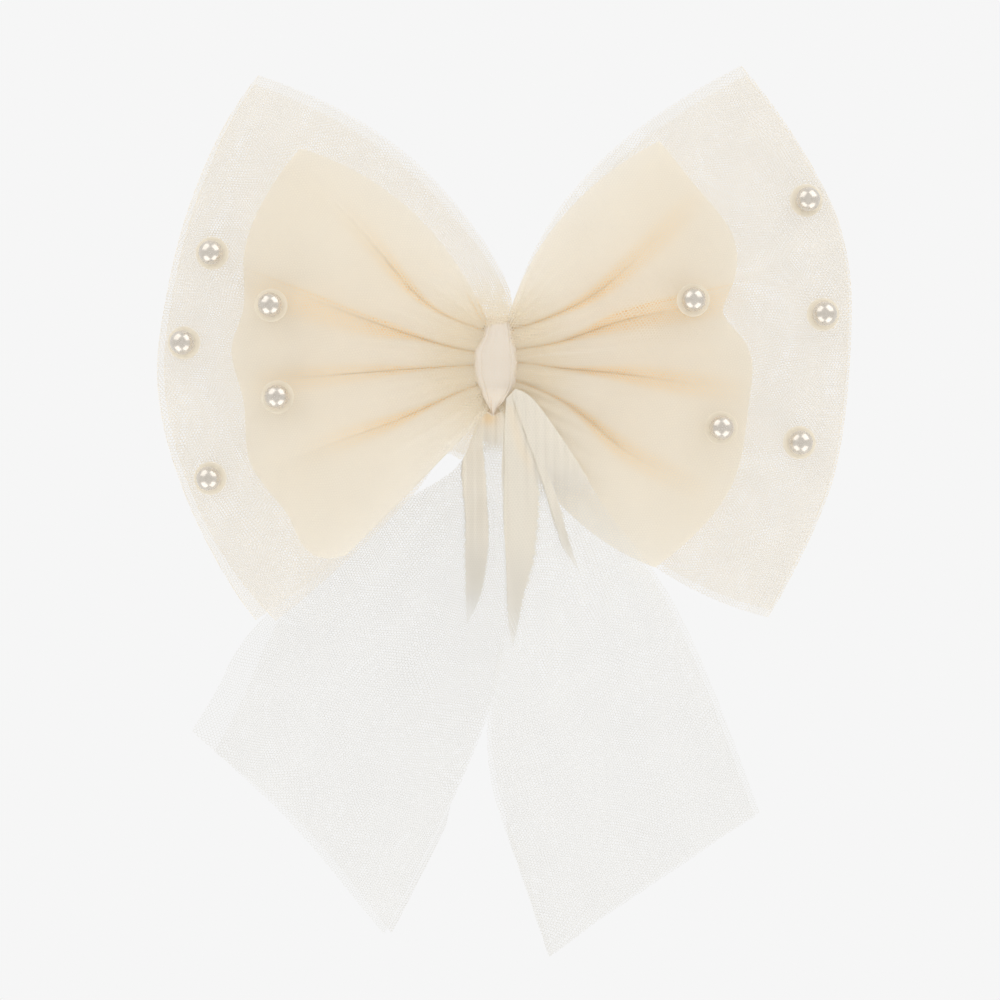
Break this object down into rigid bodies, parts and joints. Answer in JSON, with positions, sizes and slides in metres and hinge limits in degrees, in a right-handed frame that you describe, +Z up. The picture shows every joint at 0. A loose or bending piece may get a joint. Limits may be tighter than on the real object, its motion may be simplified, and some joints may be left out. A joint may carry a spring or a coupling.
{
  "type": "hair bow",
  "caption": "Large sheer hair bow with two pearl-studded wings over an opaque lining, two long tails, a gathered centre wrap and a hinged barrette clasp behind the knot.",
  "frame": {"origin": "middle of the barrette's hair gap, between the tension bar and the clasp, behind the knot", "axes": "+X across the bow to the viewer's right, +Z up, +Y back towards the head; the bow's front faces -Y"},
  "size_m": [0.2315, 0.0408, 0.2952],
  "materials": {
    "tulle": "fine hexagonal net, sheer",
    "lining": "opaque ivory voile, matte",
    "wrap": "folded tulle over ivory voile",
    "thread": "twisted polyester thread",
    "pad": "grosgrain ribbon",
    "steel": "nickel-plated spring steel",
    "pearl": "pearlescent coating",
    "disc": "cream nylon"
  },
  "bodies": {
    "bow": {"left_wing": "tulle", "right_wing": "tulle", "left_tail": "tulle", "right_tail": "tulle", "left_lining": "lining", "right_lining": "lining", "centre_wrap": "wrap", "binding_thread": "thread", "backing_pad": "pad", "base_plate": "steel", "tension_bar": "steel", "hinge_pin": "steel", "catch_block": "steel", "catch_rivet": "steel", "pearl_1": "pearl", "pearl_2": "pearl", "pearl_3": "pearl", "pearl_4": "pearl", "pearl_5": "pearl", "pearl_6": "pearl", "pearl_7": "pearl", "pearl_8": "pearl", "pearl_9": "pearl", "pearl_10": "pearl", "pearl_disc_1": "disc", "pearl_disc_2": "disc", "pearl_disc_3": "disc", "pearl_disc_4": "disc", "pearl_disc_5": "disc", "pearl_disc_6": "disc", "pearl_disc_7": "disc", "pearl_disc_8": "disc", "pearl_disc_9": "disc", "pearl_disc_10": "disc", "rivet_cap_1": "steel", "rivet_cap_2": "steel", "rivet_cap_3": "steel", "rivet_cap_4": "steel", "rivet_cap_5": "steel", "rivet_cap_6": "steel", "rivet_cap_7": "steel", "rivet_cap_8": "steel", "rivet_cap_9": "steel", "rivet_cap_10": "steel"},
    "clasp": {"clasp_bar": "steel"},
    "upper_arm": {"upper_catch_arm": "steel"},
    "lower_arm": {"lower_catch_arm": "steel"}
  },
  "joints": [
    {"name": "clasp_hinge", "type": "hinge", "parent": "bow", "child": "clasp", "pos_m": [-0.038, 0.00535, 0], "axis": [0, 0, 1], "range_deg": [0, 95]},
    {"name": "upper_arm_squeeze", "type": "hinge", "parent": "bow", "child": "upper_arm", "pos_m": [0.0325, 0.00365, 0.00135], "axis": [0, 1, 0], "range_deg": [0, 9], "stiffness_Nm_per_rad": 0.05},
    {"name": "lower_arm_squeeze", "type": "hinge", "parent": "bow", "child": "lower_arm", "pos_m": [0.0325, 0.00365, -0.00135], "axis": [0, -1, 0], "range_deg": [0, 9], "stiffness_Nm_per_rad": 0.05}
  ]
}
